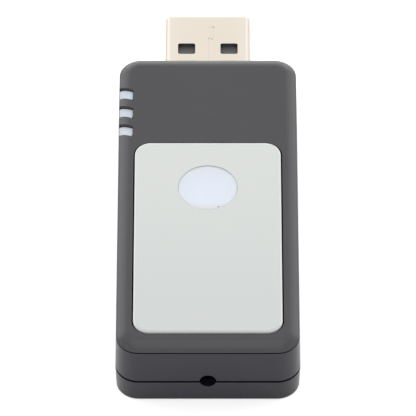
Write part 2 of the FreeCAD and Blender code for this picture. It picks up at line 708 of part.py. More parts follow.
def round_prongs(body):
    """Trim the prongs to one arc that follows the crown, ended at the housing's widest line."""
    inner_x = read("-" + BAR_REACH)
    side = read("-body_width / 2")
    top = read(TOP_Z + " - bar_sink")
    radius = read("bar_round_radius")
    far_out = read("-(body_width / 2 + 2 * wall)")
    floor = read(BAR_FLOOR_Z)
    above = read(TOP_Z + " + wall")
    waste = sketch_on(body, "XZ_Plane")
    turned = math.asin((inner_x - side) / radius)
    circle = Part.Circle(V(inner_x, top - radius, 0), V(0, 0, 1), radius)
    arc = Part.ArcOfCircle(circle, math.pi / 2, math.pi / 2 + turned)
    sketch_lines = [
        (circle.value(math.pi / 2 + turned), V(side, floor, 0)),
        (V(side, floor, 0), V(far_out, floor, 0)),
        (V(far_out, floor, 0), V(far_out, above, 0)),
        (V(far_out, above, 0), V(0, above, 0)),
        (V(0, above, 0), V(0, top, 0)),
        (V(0, top, 0), V(inner_x, top, 0)),
    ]
    waste.addGeometry(arc)
    for start, end in sketch_lines:
        waste.addGeometry(Part.LineSegment(start, end))
    for index in range(6):
        waste.addConstraint(Sketcher.Constraint("Coincident", index, 2, index + 1, 1))
    waste.addConstraint(Sketcher.Constraint("Tangent", 6, 2, 0, 1))
    for index in (1, 3, 5):
        waste.addConstraint(Sketcher.Constraint("Vertical", index))
    for index in (2, 4, 6):
        waste.addConstraint(Sketcher.Constraint("Horizontal", index))
    constrain(waste, "Radius", (0,), "bar_round_radius")
    constrain(waste, "DistanceX", (-1, 1, 0, 1), "-" + BAR_REACH)
    constrain(waste, "DistanceY", (-1, 1, 0, 1), TOP_Z + " - bar_sink")
    constrain(waste, "DistanceX", (1, 2, -1, 1), "body_width / 2")
    constrain(waste, "DistanceX", (3, 1, -1, 1), "body_width / 2 + 2 * wall")
    constrain(waste, "DistanceY", (-1, 1, 3, 1), BAR_FLOOR_Z)
    constrain(waste, "DistanceY", (-1, 1, 3, 2), TOP_Z + " + wall")
    waste.addConstraint(Sketcher.Constraint("PointOnObject", 5, 1, -2))
    pocket(body, waste, "2 * body_length", midplane=True)


# USB-A plug

def plug_shell():
    """Folded sheet sleeve with two windows on each broad face and a wing on each side."""
    body = new_body("plug_shell")
    section = sketch_on(body, "XZ_Plane", along=PLUG_Z, up="-" + PLUG_TIP)
    rounded_rectangle(section, "plug_width", "plug_height", "plug_bend_radius")
    rounded_rectangle(section, "plug_width - 2 * plug_sheet", "plug_height - 2 * plug_sheet",
                      "plug_bend_radius - plug_sheet")
    sleeve = pad(body, section, "plug_reach + plug_seat")
    tip = read(PLUG_TIP)
    chamfer_edges(body, sleeve, "plug_tip_chamfer", lambda edge: on_tip(edge, tip))
    windows = sketch_on(body, "XY_Plane", up=PLUG_Z)
    for side in ("-", ""):
        rectangle(windows, "window_width", "window_length", x=side + "window_spread / 2",
                  y=PLUG_TIP + " - window_setback")
    cut = pocket(body, windows, "2 * plug_height", midplane=True)
    sheet_high = read("plug_sheet") + 1e-4
    fillet_edges(body, cut, "window_corner_radius", lambda edge: is_upright(edge, sheet_high))
    plug_seam(body)
    wing = sketch_on(body, "XY_Plane", up=BOARD_TOP_Z)
    rectangle(wing, "wing_reach + plug_sheet / 2", "wing_length",
              x="(plug_width + wing_reach - plug_sheet / 2) / 2", y=PLUG_REAR + " + wing_length / 2")
    wing_pad = pad(body, wing, "plug_sheet")
    mirror(body, [wing_pad], "YZ_Plane")
    return body


def plug_seam(body):
    """Closed seam of the folded sheet along the top face: a fine groove, a stepped lock and three pits."""
    face = PLUG_Z + " + plug_height / 2"
    seam = sketch_on(body, "XY_Plane", up=face)
    left, right = "seam_place - seam_width / 2", "seam_place + seam_width / 2"
    lock_left, lock_right = left + " + seam_jog", right + " + seam_jog"
    start = PLUG_REAR + " - plug_sheet"
    low = PLUG_TIP + " - seam_lock_setback"
    high = low + " + seam_lock_length"
    end = PLUG_TIP + " + plug_sheet"
    polygon(seam, [
        (left, start), (right, start), (right, low), (lock_right, low), (lock_right, high + " + seam_width"),
        (right, high + " + seam_width"), (right, end), (left, end), (left, high), (lock_left, high),
        (lock_left, low + " + seam_width"), (left, low + " + seam_width")])
    pocket(body, seam, "seam_depth")
    pits = sketch_on(body, "XY_Plane", up=face)
    rectangle(pits, "seam_pit_side", "seam_pit_side", "seam_place + seam_pit_shift", low)
    rectangle(pits, "seam_pit_side", "seam_pit_side", "seam_place + seam_jog - seam_pit_shift",
              low + " - seam_pit_shift")
    rectangle(pits, "seam_pit_side", "seam_pit_side", "seam_place + seam_jog", high)
    pocket(body, pits, "seam_pit_depth")


def is_upright(edge, longest):
    """True for a short edge along Z."""
    box = edge.BoundBox
    return box.XLength < 1e-4 and box.YLength < 1e-4 and box.ZLength < longest


def on_tip(edge, tip):
    """Outer edges of the sleeve's mouth."""
    box = edge.BoundBox
    if abs(box.YMin - tip) > 1e-4 or abs(box.YMax - tip) > 1e-4:
        return False
    half_w, half_h = read("plug_width") / 2, read("plug_height") / 2
    middle = read(PLUG_Z)
    near_side = max(abs(box.XMin), abs(box.XMax)) > half_w - 1e-4
    near_face = max(abs(box.ZMin - middle), abs(box.ZMax - middle)) > half_h - 1e-4
    return near_side or near_face


def plug_insulator():
    """Moulded core: a rear block that fills the sleeve and a tongue in its upper half."""
    body = new_body("plug_insulator")
    inner_width = "plug_width - 2 * plug_sheet - 2 * insulator_fit"
    inner_height = "plug_height - 2 * plug_sheet - 2 * insulator_fit"
    roof = PLUG_Z + " + plug_height / 2 - plug_sheet - insulator_fit"
    bend = "plug_bend_radius - plug_sheet"
    block = sketch_on(body, "XZ_Plane", along=PLUG_Z, up="-(%s + insulator_block)" % PLUG_REAR)
    rounded_rectangle(block, inner_width, inner_height, bend)
    pad(body, block, "insulator_block")
    tongue = sketch_on(body, "XZ_Plane", up="-(%s - insulator_setback)" % PLUG_TIP)
    rectangle(tongue, inner_width + " - 2 * (%s)" % bend, "insulator_thickness",
              y=roof + " - insulator_thickness / 2")
    pad(body, tongue, "plug_reach + plug_seat - insulator_setback - insulator_block / 2")
    catches = sketch_on(body, "XY_Plane", up=roof)
    for side in ("-", ""):
        rectangle(catches, "window_width + 2 * catch_margin", "window_length + 2 * catch_margin",
                  x=side + "window_spread / 2", y=PLUG_TIP + " - window_setback")
    pocket(body, catches, "catch_depth")
    for place, setback in contact_places():
        groove = sketch_on(body, "XY_Plane", up=roof + " - insulator_thickness")
        start = PLUG_REAR
        end = "(%s - insulator_setback - %s)" % (PLUG_TIP, setback)
        rectangle(groove, "contact_width", "%s - %s" % (end, start), x=place,
                  y="(%s + %s) / 2" % (start, end))
        pocket(body, groove, "contact_thickness", reverse=True)
    return body


def contact_places():
    """Middle and setback of the two power contacts and the two data contacts."""
    power, data = "contact_power_spread / 2", "contact_data_spread / 2"
    return [("-" + power, "contact_power_setback"), ("-" + data, "contact_data_setback"),
            (data, "contact_data_setback"), (power, "contact_power_setback")]


def plug_contact(number, place, setback):
    """Sprung strip in its groove, with a tail that bends down onto the board."""
    body = new_body("plug_contact_%d" % number)
    strip_z = PLUG_Z + " + plug_height / 2 - plug_sheet - insulator_fit - insulator_thickness"
    start = "(%s - contact_tail)" % PLUG_REAR
    end = "(%s - insulator_setback - %s)" % (PLUG_TIP, setback)
    side = sketch_on(body, "YZ_Plane", up="%s - contact_width / 2" % place)
    top, low = strip_z + " + contact_thickness", strip_z
    board = BOARD_TOP_Z
    tail_in = start + " + contact_thickness"
    foot = start + " - contact_tail / 2"
    polygon(side, [(end, low), (end, top), (start, top), (start, board + " + contact_thickness"),
                   (foot, board + " + contact_thickness"), (foot, board), (tail_in, board), (tail_in, low)])
    pad(body, side, "contact_width")
    return body


# Circuit board and what stands on it

def circuit_board():
    """Board with a notch for the plug and holes for the locating pins."""
    body = new_body("circuit_board")
    outline = sketch_on(body, "XY_Plane", along=BODY_MIDDLE, up=BOARD_Z)
    shrink = "2 * (wall + board_clearance)"
    rounded_rectangle(outline, "body_width - " + shrink, "body_length - " + shrink, "board_corner_radius")
    pad(body, outline, "board_thickness")
    notch = sketch_on(body, "XY_Plane", up=BOARD_Z)
    rectangle(notch, "plug_width + 2 * board_notch_clearance", "2 * (plug_seat + board_notch_clearance)",
              y=FAR_END)
    pocket(body, notch, "board_thickness", reverse=True)
    holes = sketch_on(body, "XY_Plane", up=BOARD_Z)
    for x, y in pin_places():
        disc(holes, "post_pin_diameter + 2 * post_pin_clearance", x, y)
    pocket(body, holes, "board_thickness", reverse=True)
    return body


def radio_module():
    """Module board, its chip and a drawn shield can that is open below."""
    board = block("module_board", "module_width", "module_length", "module_thickness",
                  "0", MODULE_Y, BOARD_TOP_Z)
    top = "(%s + module_thickness)" % BOARD_TOP_Z
    chip = block("radio_chip", "radio_chip_side", "radio_chip_side", "radio_chip_height", "0", CAN_Y, top)
    can = new_body("shield_can")
    outer = sketch_on(can, "XY_Plane", along=CAN_Y, up=top)
    rounded_rectangle(outer, "can_width", "can_length", "can_corner_radius")
    pad(can, outer, "can_height")
    inner = sketch_on(can, "XY_Plane", along=CAN_Y, up=top)
    rounded_rectangle(inner, "can_width - 2 * can_sheet", "can_length - 2 * can_sheet",
                      "can_corner_radius - can_sheet")
    pocket(can, inner, "can_height - can_sheet", reverse=True)
    return [board, chip, can]


def block(label, width, length, height, x, y, z):
    """Plain box by the middle of its foot."""
    box = doc.addObject("Part::Box", label)
    box.Label = label
    bind(box, Length=width, Width=length, Height=height,
         Placement__Base__x="%s - (%s) / 2" % (x, width),
         Placement__Base__y="%s - (%s) / 2" % (y, length), Placement__Base__z=z)
    return box


def main_switch():
    """Push switch under the key: body with a well, cover, stem and snap dome."""
    base = new_body("main_switch_body")
    foot = sketch_on(base, "XY_Plane", along=SWITCH_Y, up=BOARD_TOP_Z)
    rectangle(foot, "switch_side", "switch_side")
    pad(base, foot, "switch_body_height - switch_cover")
    well = sketch_on(base, "XY_Plane", along=SWITCH_Y, up=WELL_FLOOR_Z)
    disc(well, "switch_well")
    pocket(base, well, "switch_body_height", reverse=True)
    cover = new_body("main_switch_cover")
    plate = sketch_on(cover, "XY_Plane", along=SWITCH_Y, up=BOARD_TOP_Z + " + switch_body_height")
    rectangle(plate, "switch_side", "switch_side")
    disc(plate, "stem_diameter + 2 * stem_clearance")
    pad(cover, plate, "switch_cover", reverse=True)
    stem = new_body("main_switch_stem")
    flange_top = BOARD_TOP_Z + " + switch_body_height - switch_cover - stem_clearance"
    post = sketch_on(stem, "XY_Plane", along=SWITCH_Y, up=STEM_TOP_Z)
    disc(post, "stem_diameter")
    pad(stem, post, "%s - (%s) + stem_flange_height" % (STEM_TOP_Z, flange_top), reverse=True)
    flange = sketch_on(stem, "XY_Plane", along=SWITCH_Y, up=flange_top)
    disc(flange, "stem_flange_diameter")
    pad(stem, flange, "stem_flange_height", reverse=True)
    nub_low = "(%s + dome_height + stem_travel + stem_clearance)" % WELL_FLOOR_Z
    nub = sketch_on(stem, "XY_Plane", along=SWITCH_Y, up=nub_low)
    disc(nub, "stem_nub_diameter")
    pad(stem, nub, "%s - stem_flange_height - %s" % (flange_top, nub_low))
    return [base, cover, stem, snap_dome()]


def snap_dome():
    """Thin snap dome with a flat crown, on the well's floor."""
    body = new_body("main_switch_dome")
    section = sketch_on(body, "XZ_Plane", along=WELL_FLOOR_Z, up="-" + SWITCH_Y)
    half, rise, crown = "dome_diameter / 2", "dome_height", "dome_crown / 2"
    polygon(section, [("0", rise + " - dome_sheet"), (crown, rise + " - dome_sheet"),
                      (half, "0"), (half, "dome_sheet"), (crown, rise), ("0", rise)])
    dome = body.newObject("PartDesign::Revolution", "dome_turn")
    dome.Profile = section
    dome.ReferenceAxis = (section, ["V_Axis"])
    dome.Angle = 360.0
    return body


def reset_switch():
    """Side push switch behind the end hole: body with a pocket, and its stem."""
    base = new_body("reset_switch_body")
    foot = sketch_on(base, "XY_Plane", along=RESET_FRONT + " + reset_body_depth / 2", up=BOARD_TOP_Z)
    rectangle(foot, "reset_body_width", "reset_body_depth")
    pad(base, foot, "reset_body_height")
    mouth = sketch_on(base, "XZ_Plane", along="reset_hole_height", up="-" + RESET_FRONT)
    rectangle(mouth, "reset_stem_width + 2 * reset_stem_clearance",
              "reset_stem_height + 2 * reset_stem_clearance")
    pocket(base, mouth, "reset_pocket_depth")
    stem = new_body("reset_switch_stem")
    front = sketch_on(stem, "XZ_Plane", along="reset_hole_height",
                      up="-(%s - reset_stem_reach)" % RESET_FRONT)
    rectangle(front, "reset_stem_width", "reset_stem_height")
    pad(stem, front, "reset_stem_reach + reset_pocket_depth - reset_travel - reset_stem_clearance",
        reverse=True)
    return [base, stem]


def lamps():
    """One lamp under each leg of the light pipe and one under the lens."""
    pieces = []
    for index in range(SIZES["bar_count"]):
        pieces.append(block("bar_lamp_%d" % (index + 1), "lamp_width", "lamp_length", "lamp_height",
                            "-" + PIPE_COLUMN, "%s - %d * bar_pitch" % (FIRST_BAR_Y, index),
                            BOARD_TOP_Z))
    pieces.append(block("key_lamp", "key_lamp_side", "key_lamp_side", "key_lamp_height", "0", LENS_Y,
                        BOARD_TOP_Z))
    return pieces


def components():
    """Small parts that stand on the board, in columns along its sides."""
    pieces = []

    def place(label, kind, x, y, width="%s_width", length="%s_length"):
        sizes = [text % kind if "%s" in text else text for text in (width, length, "%s_height")]
        pieces.append(block(label, *sizes, x, y, BOARD_TOP_Z))

    edge = "(%s - part_gap)" % BOARD_SIDE
    feet = "(%s - 1.5 * contact_tail)" % PLUG_REAR
    right = "(%s - regulator_width / 2)" % edge
    left = "-(%s - pipe_rail_width / 2 - part_gap - inductor_side / 2)" % PIPE_COLUMN
    regulator_y = "(%s - part_gap - regulator_length / 2)" % PLUG_REAR
    inductor_y = "(%s - part_gap - inductor_side / 2)" % feet
    place("regulator", "regulator", right, regulator_y)
    place("inductor", "inductor", left, inductor_y, "inductor_side", "inductor_side")
    place("fuse", "fuse", left, "%s - inductor_side / 2 - part_gap - fuse_length / 2" % inductor_y)
    place("diode", "diode", right, "%s - regulator_length / 2 - part_gap - diode_length / 2" % regulator_y)
    tantalum_x = "(%s - tantalum_width / 2)" % edge
    ceramic_x = "(%s - ceramic_width / 2)" % edge
    beside = "(module_width / 2 + part_gap)"
    for number, side in enumerate(("", "-"), start=1):
        place("tantalum_capacitor_%d" % number, "tantalum", side + tantalum_x,
              SWITCH_Y + " - tantalum_setback")
        place("ceramic_capacitor_%d" % number, "ceramic", side + ceramic_x, LENS_Y)
    place("ceramic_capacitor_3", "ceramic", ceramic_x, LENS_Y + " - ceramic_length - part_gap")
    place("crystal", "crystal", "-(%s + crystal_width / 2)" % beside, MODULE_Y)
    resistor_x = "(%s + resistor_width / 2)" % beside
    for index in range(SIZES["resistor_count"]):
        along = "%s + (%d - (resistor_count - 1) / 2) * resistor_pitch" % (MODULE_Y, index)
        place("resistor_%d" % (index + 1), "resistor", resistor_x, along)
    return pieces


def build():
    """Make every piece of the switch."""
    pieces = [upper_shell(), lower_shell(), key_panel(), key_lens(), light_pipe()]
    pieces += [plug_shell(), plug_insulator()]
    for number, (place, setback) in enumerate(contact_places(), start=1):
        pieces.append(plug_contact(number, place, setback))
    pieces.append(circuit_board())
    pieces += radio_module() + main_switch() + reset_switch() + lamps() + components()
    doc.recompute()
    return pieces


def check(pieces):
    """Stop on a failed feature or a shape that isn't one valid solid."""
    for thing in doc.Objects:
        if "Invalid" in thing.State or "Error" in thing.State:
            raise RuntimeError("%s failed: %s" % (thing.Name, thing.State))
    for piece in pieces:
        shape = piece.Shape
        if shape.isNull() or not shape.isValid():
            raise RuntimeError("%s has no valid shape" % piece.Label)
        if len(shape.Solids) != 1 or shape.Volume <= 0:
            raise RuntimeError("%s has %d solids" % (piece.Label, len(shape.Solids)))


pieces = build()
check(pieces)
os.makedirs("parts", exist_ok=True)
for piece in pieces:
    piece.Shape.exportStep("parts/%s.step" % piece.Label)
    box = piece.Shape.BoundBox
    print("%-24s %9.2f mm3  x %6.2f %6.2f  y %6.2f %6.2f  z %5.2f %5.2f" % (
        piece.Label, piece.Shape.Volume, box.XMin, box.XMax, box.YMin, box.YMax, box.ZMin, box.ZMax))
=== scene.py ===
"""Looks of the plug-in radio switch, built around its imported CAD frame.

Lengths are in metres in the frame of the CAD part: +Z up, +Y out of the plug, and the housing
stands on z = 0.
"""
import json
import logging
import math
from dataclasses import dataclass
from enum import Enum
from typing import Iterable, Optional, Union

import bmesh
import bpy
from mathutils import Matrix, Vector


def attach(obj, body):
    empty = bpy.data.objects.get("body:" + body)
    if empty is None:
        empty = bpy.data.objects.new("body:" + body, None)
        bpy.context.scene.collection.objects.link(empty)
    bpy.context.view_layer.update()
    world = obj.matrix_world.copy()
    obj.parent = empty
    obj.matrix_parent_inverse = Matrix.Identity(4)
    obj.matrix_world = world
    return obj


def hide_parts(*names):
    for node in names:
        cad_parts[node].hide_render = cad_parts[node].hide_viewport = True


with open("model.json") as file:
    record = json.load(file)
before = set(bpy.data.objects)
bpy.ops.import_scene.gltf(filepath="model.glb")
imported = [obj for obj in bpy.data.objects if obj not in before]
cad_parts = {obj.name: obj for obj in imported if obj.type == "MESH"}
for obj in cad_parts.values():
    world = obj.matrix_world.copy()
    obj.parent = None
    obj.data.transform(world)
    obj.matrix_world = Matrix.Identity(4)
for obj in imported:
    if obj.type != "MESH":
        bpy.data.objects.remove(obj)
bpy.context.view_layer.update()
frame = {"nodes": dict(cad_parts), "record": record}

MM = 0.001
# Sockets of a mix node that is set to colours
MIX_SHARE = 0
MIX_FIRST = 6
MIX_SECOND = 7
MIX_RESULT = 2
# Noises of the fine relief and of the broad drift, whose scale is a share of the fine one's
FINE_DETAIL = 3.0
BROAD_DETAIL = 2.0
BROAD_SCALE = 0.08
# Values of a noise between which one tone turns into the other
DRIFT_RANGE = (0.3, 0.7)
WHITE = (1.0, 1.0, 1.0)
Socket = bpy.types.NodeSocket
Colour = tuple[float, float, float]
Value = Union[float, Colour, Socket]
log = logging.getLogger("switch")


class Slot(Enum):
    """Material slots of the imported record."""

    DARK_PLASTIC = "dark_plastic"
    LIGHT_PLASTIC = "light_plastic"
    MILKY_LENS = "milky_lens"
    NICKEL = "nickel"
    PLUG_PLASTIC = "plug_plastic"
    GOLD_CONTACT = "gold_contact"
    BOARD = "board"
    TINNED_STEEL = "tinned_steel"
    BLACK_PART = "black_part"
    GREY_PART = "grey_part"
    LAMP = "lamp"
    CERAMIC_PART = "ceramic_part"
    TANTALUM_PART = "tantalum_part"


class Graph:
    """Small bench for building one node tree."""

    def __init__(self, tree: bpy.types.NodeTree) -> None:
        """Start on an empty tree.

        Args:
            tree: The tree of a material, a world or a shader group.
        """
        self.tree = tree
        tree.nodes.clear()

    def feed(self, socket: Socket, value: Value) -> None:
        """Link a socket to another one, or set its value.

        Args:
            socket: The input to feed.
            value: A socket to link, a number, or a colour of three numbers.
        """
        if isinstance(value, bpy.types.NodeSocket):
            self.tree.links.new(value, socket)
        elif socket.type == "RGBA":
            socket.default_value = (*value[:3], 1.0)
        else:
            socket.default_value = value

    def node(self, kind: str, inputs: Optional[dict] = None, **settings: object) -> bpy.types.Node:
        """Add a node.

        Args:
            kind: Its type, without the leading ShaderNode.
            inputs: What feeds its inputs, by name or index.
            settings: Its own settings, by attribute.

        Returns:
            The new node.
        """
        made = self.tree.nodes.new("ShaderNode" + kind)
        for name, setting in settings.items():
            setattr(made, name, setting)
        for name, value in (inputs or {}).items():
            self.feed(made.inputs[name], value)
        return made

    def maths(self, operation: str, *terms: Value) -> Socket:
        """Result of one operation on numbers."""
        return self.node("Math", dict(enumerate(terms)), operation=operation).outputs[0]

    def product(self, first: Value, *others: Value) -> Socket:
        """Product of several numbers."""
        for other in others:
            first = self.maths("MULTIPLY", first, other)
        return first

    def between(self, value: Socket, start: float, end: float) -> Socket:
        """1 where a number lies between two others, 0 elsewhere."""
        return self.product(self.maths("GREATER_THAN", value, start), self.maths("LESS_THAN", value, end))

    def place(self) -> Socket:
        """Place on the object."""
        return self.node("TexCoord").outputs["Object"]

    def axes(self) -> tuple[Socket, Socket, Socket]:
        """Place on the object, across, along and up."""
        parts = self.node("SeparateXYZ", {"Vector": self.place()}).outputs
        return parts[0], parts[1], parts[2]

    def distance(self, across: Socket, along: Socket, place: tuple[float, float]) -> Socket:
        """Distance from a place, seen from above."""
        x = self.maths("SUBTRACT", across, place[0])
        y = self.maths("SUBTRACT", along, place[1])
        return self.maths("SQRT", self.maths("MULTIPLY_ADD", x, x, self.maths("MULTIPLY", y, y)))

    def smooth(self, value: Socket, start: float, end: float) -> Socket:
        """Share that rises smoothly from zero at the start to one at the end."""
        return self.node("MapRange", {"Value": value, "From Min": start, "From Max": end},
                         interpolation_type="SMOOTHSTEP").outputs[0]

    def noise(self, scale: Value, detail: float) -> Socket:
        """Values of a noise over the object, around one half."""
        inputs = {"Vector": self.place(), "Scale": scale, "Detail": detail}
        return self.node("TexNoise", inputs).outputs["Fac"]

    def blend(self, share: Value, first: Value, second: Value) -> Socket:
        """Mix of two colours."""
        inputs = {MIX_SHARE: share, MIX_FIRST: first, MIX_SECOND: second}
        return self.node("Mix", inputs, data_type="RGBA").outputs[MIX_RESULT]


def new_group(name: str, inputs: Iterable[tuple[str, str, object]],
              outputs: Iterable[tuple[str, str]]) -> tuple[Graph, dict[str, Socket], bpy.types.Node]:
    """Start a shader group with named sockets.

    Args:
        name: The group's name.
        inputs: Name, socket type and default of each input.
        outputs: Name and socket type of each output.

    Returns:
        Its graph, its inputs as sockets to link from, and its output node.
    """
    tree = bpy.data.node_groups.new(name, "ShaderNodeTree")
    for label, kind, default in inputs:
        tree.interface.new_socket(label, in_out="INPUT", socket_type=kind).default_value = default
    for label, kind in outputs:
        tree.interface.new_socket(label, in_out="OUTPUT", socket_type=kind)
    graph = Graph(tree)
    source = tree.nodes.new("NodeGroupInput")
    sink = tree.nodes.new("NodeGroupOutput")
    return graph, {socket.name: socket for socket in source.outputs if socket.name}, sink


def grain_group() -> bpy.types.NodeTree:
    """Fine relief of a moulded or rolled surface, with the roughness that goes with it."""
    number = "NodeSocketFloat"
    graph, given, sink = new_group(
        "Surface_Grain",
        [("Scale", number, 9000.0), ("Roughness", number, 0.4), ("Variation", number, 0.05)],
        [("Height", number), ("Roughness", number)])
    fine = graph.noise(given["Scale"], FINE_DETAIL)
    broad = graph.noise(graph.maths("MULTIPLY", given["Scale"], BROAD_SCALE), BROAD_DETAIL)
    mean = graph.maths("MULTIPLY", graph.maths("ADD", fine, broad), 0.5)
    swing = graph.maths("SUBTRACT", mean, 0.5)
    graph.feed(sink.inputs["Height"], fine)
    rough = graph.maths("MULTIPLY_ADD", swing, given["Variation"], given["Roughness"])
    graph.feed(sink.inputs["Roughness"], rough)
    return graph.tree


def mottle_group() -> bpy.types.NodeTree:
    """Slow drift between two tones of one colour."""
    graph, given, sink = new_group(
        "Slow_Mottle",
        [("Colour", "NodeSocketColor", (*WHITE, 1.0)),
         ("Other", "NodeSocketColor", (*WHITE, 1.0)),
         ("Scale", "NodeSocketFloat", 150.0)],
        [("Colour", "NodeSocketColor")])
    least, most = DRIFT_RANGE
    drift = graph.node("MapRange", {"Value": graph.noise(given["Scale"], BROAD_DETAIL),
                                    "From Min": least, "From Max": most}).outputs[0]
    graph.feed(sink.inputs["Colour"], graph.blend(drift, given["Colour"], given["Other"]))
    return graph.tree


GRAIN = grain_group()
MOTTLE = mottle_group()


@dataclass(frozen=True)
class Finish:
    """One finish: a colour that drifts a little and a surface with fine relief.

    Attributes:
        slot: The record's slot that it finishes.
        colour: Its main colour, linear.
        other: The tone that it drifts to.
        roughness: Its mean roughness.
        variation: How far the roughness swings.
        grain: Grains per metre.
        relief: Depth of the grain in metres.
        drift: Patches of tone per metre.
        metallic: One for metal, else zero.
        coat: Weight of a clear coat.
        coat_roughness: Roughness of that coat.
        ior: Index of refraction.
        edge: Tint of what it mirrors at a grazing angle.
        name: Its material's name, where that isn't the slot's.
    """

    slot: Slot
    colour: Colour
    other: Colour
    roughness: float
    variation: float = 0.08
    grain: float = 9000.0
    relief: float = 0.000004
    drift: float = 150.0
    metallic: float = 0.0
    coat: float = 0.0
    coat_roughness: float = 0.03
    ior: float = 1.5
    edge: Colour = WHITE
    name: str = ""

    def build(self) -> bpy.types.Material:
        """Make the material.

        Returns:
            A node material, named after its slot unless the finish has a name of its own.
        """
        material = bpy.data.materials.new(self.name or self.slot.value + "_finish")
        material.use_nodes = True
        graph = Graph(material.node_tree)
        grain = graph.node("Group", {"Scale": self.grain, "Roughness": self.roughness,
                                     "Variation": self.variation}, node_tree=GRAIN)
        shader = graph.node("BsdfPrincipled", {
            "Base Color": self.paint(graph),
            "Roughness": grain.outputs["Roughness"],
            "Metallic": self.metallic,
            "Coat Weight": self.coat,
            "Coat Roughness": self.coat_roughness,
            "IOR": self.ior,
            "Specular Tint": self.edge,
        })
        bump = graph.node("Bump", {"Height": grain.outputs["Height"], "Distance": self.relief})
        graph.feed(shader.inputs["Normal"], bump.outputs["Normal"])
        self.finish_shader(graph, shader)
        out = graph.node("OutputMaterial")
        graph.feed(out.inputs["Surface"], shader.outputs[0])
        return material

    def paint(self, graph: Graph) -> Socket:
        """Base colour of the finish."""
        inputs = {"Colour": self.colour, "Other": self.other, "Scale": self.drift}
        return graph.node("Group", inputs, node_tree=MOTTLE).outputs["Colour"]

    def finish_shader(self, graph: Graph, shader: bpy.types.Node) -> None:
        """Settings that only some finishes have."""


@dataclass(frozen=True)
class MilkyFinish(Finish):
    """Diffusing plastic that lets some light through its body.

    Attributes:
        depth: How far light travels inside it, in metres.
        weight: Share of the light that does.
        spread: How far each of the three colours travels, as shares of the depth.
    """

    depth: float = 0.6 * MM
    weight: float = 0.4
    spread: Colour = WHITE

    def finish_shader(self, graph: Graph, shader: bpy.types.Node) -> None:
        """Let light scatter inside the body."""
        graph.feed(shader.inputs["Subsurface Weight"], self.weight)
        graph.feed(shader.inputs["Subsurface Scale"], self.depth)
        graph.feed(shader.inputs["Subsurface Radius"], self.spread)


@dataclass(frozen=True)
class LensFinish(MilkyFinish):
    """Milky lens of the key with a painted glow, brightest in its middle, painted shade towards its near
    rim, and one dark speck.

    Attributes:
        middle: Middle of the lens, across and along.
        radius: Its radius.
        rim: Tone of the painted glow at the rim.
        glow_range: Shares of the radius from and at which the painted glow's rim tone shows.
        near_shade: Painted shade at its near end.
        near_shade_range: Shares of the radius towards the near end, from and at which that painted shade
            shows.
        speck: Middle of the speck.
        speck_radius: Radius of the speck.
        speck_range: Shares of that radius from and at which the speck's tone shows.
        speck_tone: Colour of the speck.
    """

    middle: tuple[float, float] = (0.0, -4.18 * MM)
    radius: float = 4.06 * MM
    # Rim tone of the painted glow
    rim: Colour = (0.775, 0.825, 0.90)
    glow_range: tuple[float, float] = (0.2, 1.0)
    near_shade: Colour = (0.73, 0.75, 0.735)
    near_shade_range: tuple[float, float] = (0.62, 1.1)
    speck: tuple[float, float] = (1.45 * MM, -7.73 * MM)
    speck_radius: float = 0.1 * MM
    speck_range: tuple[float, float] = (1.3, 0.7)
    speck_tone: Colour = (0.12, 0.11, 0.10)

    def paint(self, graph: Graph) -> Socket:
        """Base colour: a painted glow from the middle out, painted shade at the near end, and the speck."""
        across, along, _ = graph.axes()
        away = graph.maths("DIVIDE", graph.distance(across, along, self.middle), self.radius)
        # Painted glow: brightest in the middle, turning to the rim tone outwards
        tone = graph.blend(graph.smooth(away, *self.glow_range), super().paint(graph), self.rim)
        nearness = graph.maths("DIVIDE", graph.maths("SUBTRACT", self.middle[1], along), self.radius)
        # Painted shade towards the near end
        tone = graph.blend(graph.smooth(nearness, *self.near_shade_range), tone, self.near_shade)
        spot = graph.maths("DIVIDE", graph.distance(across, along, self.speck), self.speck_radius)
        return graph.blend(graph.smooth(spot, *self.speck_range), tone, self.speck_tone)


@dataclass(frozen=True)
class ShellFinish(Finish):
    """Dark plastic of the shells, with painted shade on the wall of the near end, which is darker and a
    touch more violet.

    Attributes:
        wall_from: Place along the switch where the near end's tone starts.
        wall_to: Place where it is full.
        wall_over: Height over which the crowned band keeps the plain tone.
        wall_under: Height under which the wall's painted shade is full.
        near_wall_shade: Painted shade on the near end's wall.
    """

    wall_from: float = -30.5 * MM
    wall_to: float = -33.0 * MM
    wall_over: float = 9.6 * MM
    wall_under: float = 9.4 * MM
    near_wall_shade: Colour = (0.0135, 0.0105, 0.026)

    def paint(self, graph: Graph) -> Socket:
        """Base colour, with painted shade on the near wall: darker and more violet."""
        _, along, height = graph.axes()
        # Painted shade on the near end's wall
        share = graph.product(graph.smooth(along, self.wall_from, self.wall_to),
                              graph.smooth(height, self.wall_over, self.wall_under))
        return graph.blend(share, super().paint(graph), self.near_wall_shade)


